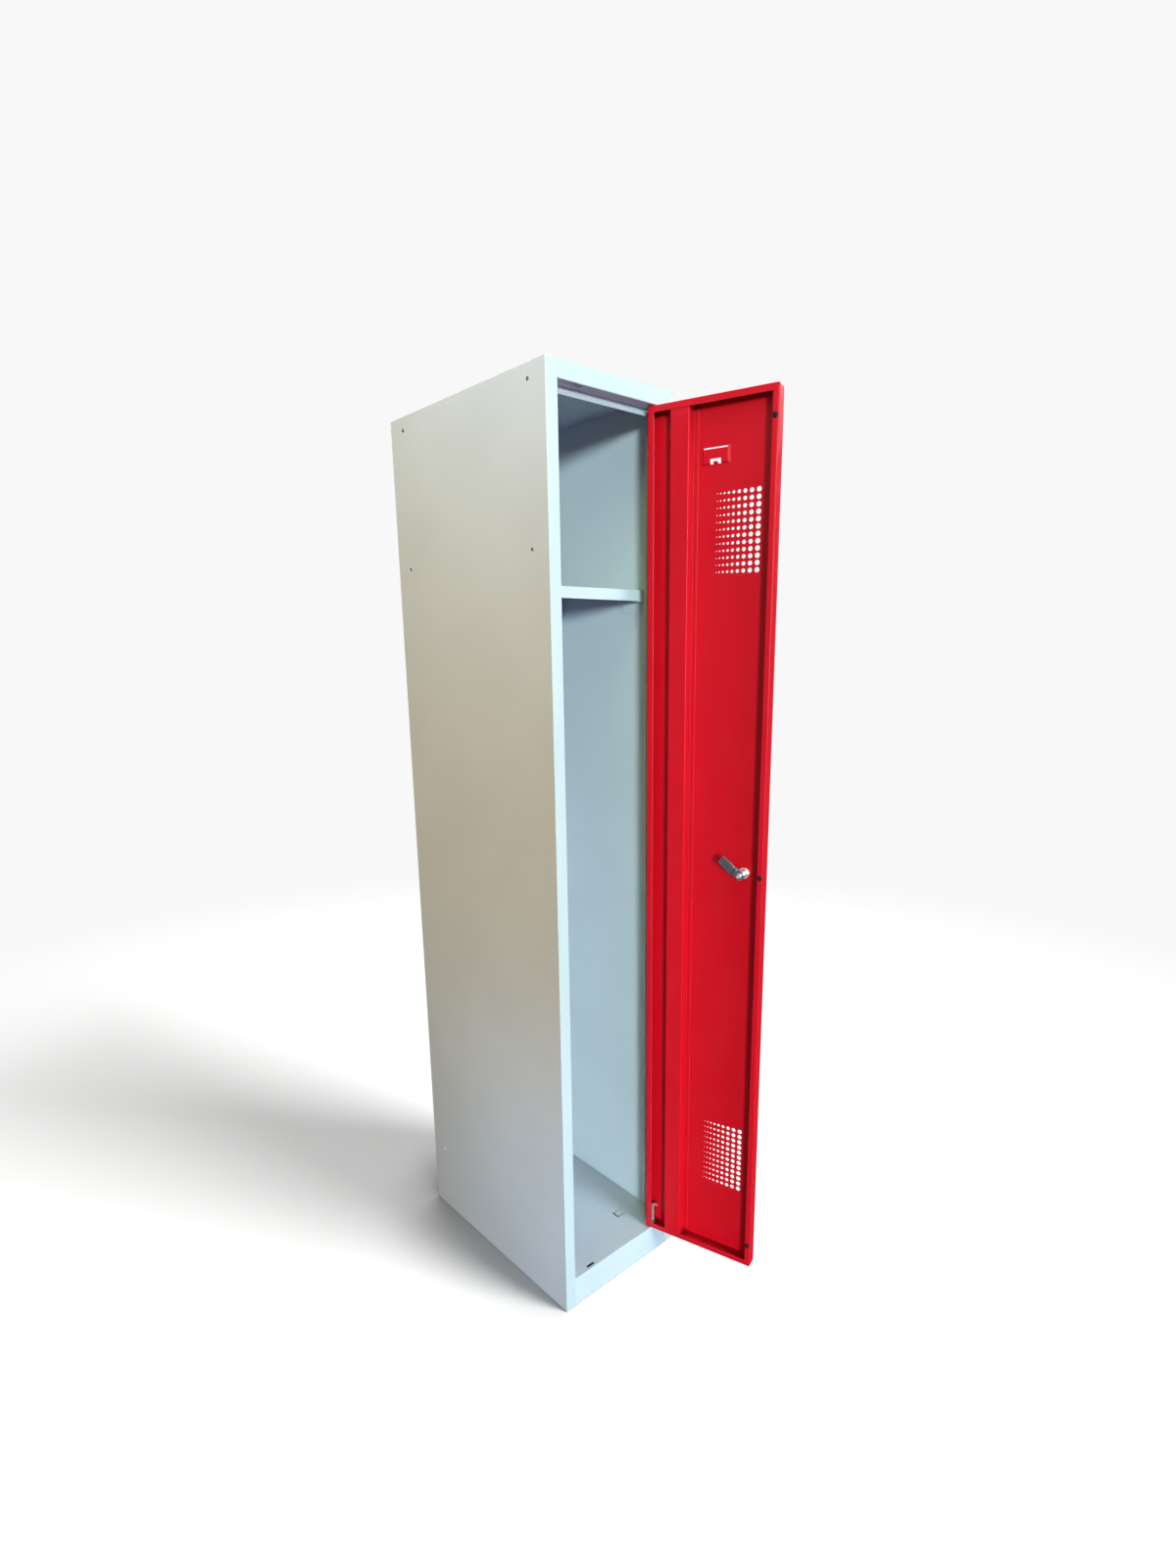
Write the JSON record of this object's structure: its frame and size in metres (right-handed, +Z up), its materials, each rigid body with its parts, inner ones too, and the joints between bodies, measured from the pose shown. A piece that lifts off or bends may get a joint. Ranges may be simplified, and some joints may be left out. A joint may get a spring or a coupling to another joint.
{
  "type": "clothes locker",
  "caption": "Tall narrow steel clothes locker on a plinth, grey cabinet with hat shelf and coat rail, red perforated door open on its hinge, cam lock and card holder.",
  "frame": {"origin": "middle of the rectangle of base holes, which is the middle of the cabinet's footprint on the floor", "axes": "+Z up, front facing -Y, +X to the right of someone facing the door, towards the hinge"},
  "size_m": [0.3367, 0.7249, 1.8],
  "materials": {
    "cabinet_paint": "satin powder coat, light grey",
    "door_paint": "semi-gloss powder coat, signal red",
    "zinc_steel": "bright zinc plate",
    "bright_steel": "bright drawn steel",
    "nickel_plate": "nickel plate",
    "nut_brass": "pale turned brass",
    "buffer_rubber": "matt black",
    "bush_nylon": "matt grey"
  },
  "bodies": {
    "cabinet": {"left_side_panel": "cabinet_paint", "right_side_panel": "cabinet_paint", "back_panel": "cabinet_paint", "roof_panel": "cabinet_paint", "floor_panel": "cabinet_paint", "hat_shelf": "cabinet_paint", "front_left_shelf_bracket": "cabinet_paint", "front_right_shelf_bracket": "cabinet_paint", "rear_left_shelf_bracket": "cabinet_paint", "rear_right_shelf_bracket": "cabinet_paint", "coat_rail": "zinc_steel", "left_rail_cup": "zinc_steel", "right_rail_cup": "zinc_steel", "upper_hinge_bush": "bush_nylon", "lower_hinge_bush": "bush_nylon"},
    "door": {"door_panel": "door_paint", "door_stiffener": "door_paint", "upper_hinge_pin": "bright_steel", "lower_pin_guide": "bush_nylon", "lower_door_buffer": "buffer_rubber", "middle_door_buffer": "buffer_rubber", "upper_door_buffer": "buffer_rubber", "lock_housing": "nickel_plate", "lock_nut": "nut_brass"},
    "lock": {"lock_plug": "nickel_plate", "lock_cam": "zinc_steel", "cam_washer": "zinc_steel", "cam_bolt": "zinc_steel"},
    "lower_pin": {"lower_hinge_pin": "bright_steel"}
  },
  "joints": [
    {"name": "door_hinge", "type": "hinge", "parent": "cabinet", "child": "door", "pos_m": [0.1142, -0.2428, 0.9175], "axis": [0, 0, 1], "range_deg": [-106.2, 5]},
    {"name": "lock_turn", "type": "hinge", "parent": "door", "child": "lock", "pos_m": [0.1746, -0.42488, 0.9175], "axis": [0.9603, 0.279, 0], "range_deg": [-40, 140]},
    {"name": "lower_pin_lift", "type": "slide", "parent": "door", "child": "lower_pin", "axis": [0, 0, 1], "range_m": [0, 0.014]}
  ]
}
